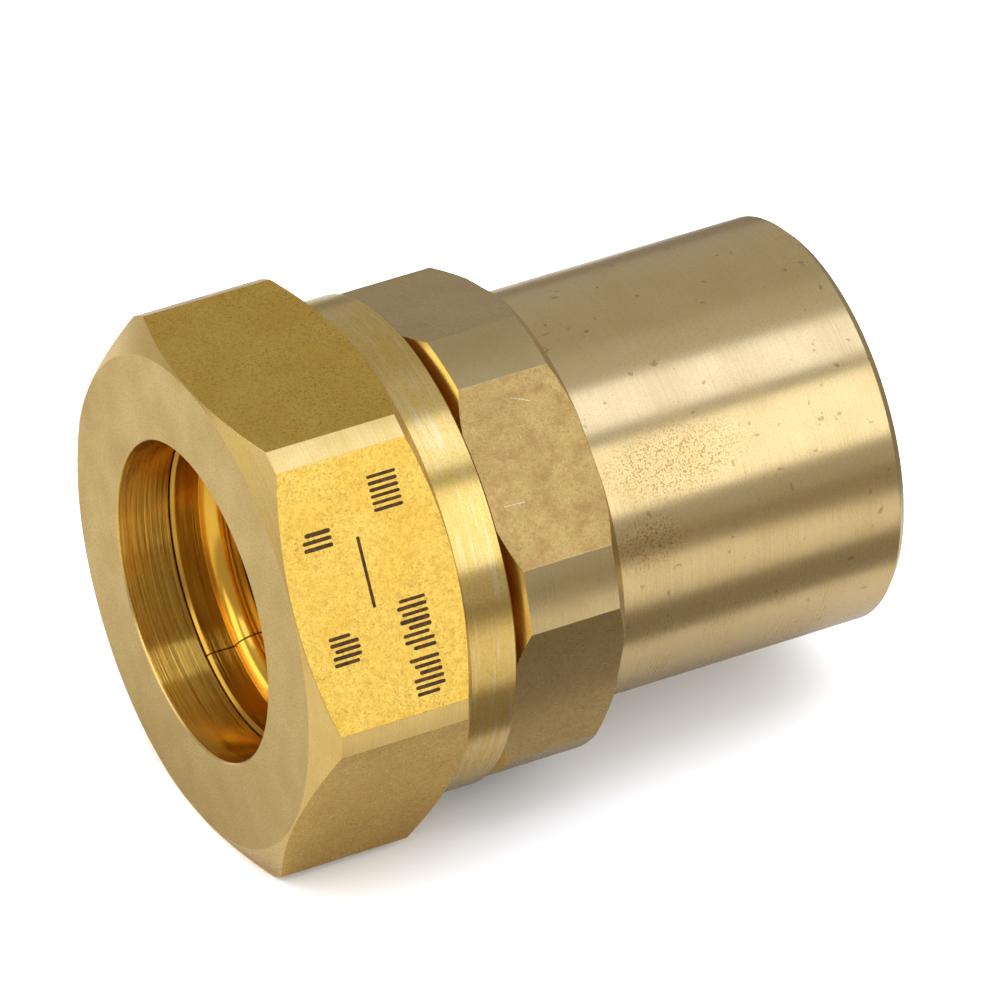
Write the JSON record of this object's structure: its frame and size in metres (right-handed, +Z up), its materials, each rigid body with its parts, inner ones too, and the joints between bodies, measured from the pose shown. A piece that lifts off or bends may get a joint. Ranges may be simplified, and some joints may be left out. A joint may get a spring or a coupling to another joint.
{
  "type": "flare fitting",
  "caption": "Brass screw-together fitting that clamps and flares a corrugated gas pipe under a hexagon nut and joins it to a male pipe thread",
  "frame": {"origin": "centre of the nut's front face, where the pipe goes in, on the common axis", "axes": "+X along the common axis from the pipe entry to the threaded socket, +Z up out of the nut's top flat, with the opposite flat facing straight down"},
  "size_m": [0.0448, 0.0372, 0.033],
  "materials": {
    "nut_brass": "machined from hexagon bar, satin",
    "ring_brass": "turned",
    "insert_brass": "turned",
    "body_brass": "machined from hexagon bar, fine turning lines on the socket"
  },
  "bodies": {
    "fitting_body": {"body": "body_brass", "flare_insert": "insert_brass"},
    "split_ring": {"split_ring_lower_half": "ring_brass", "split_ring_upper_half": "ring_brass"},
    "nut": {"nut": "nut_brass"}
  },
  "joints": [
    {"name": "ring_slide", "type": "slide", "parent": "fitting_body", "child": "split_ring", "axis": [1, 0, 0], "range_m": [-0.0046, 0.00022]},
    {"name": "nut_turn", "type": "hinge", "parent": "split_ring", "child": "nut", "pos_m": [0, 0, 0], "axis": [1, 0, 0], "range_deg": [-1080, 47]}
  ],
  "couplings": [
    {"joint": "ring_slide", "follows": "nut_turn", "m_per_rad": 0.00023873}
  ]
}
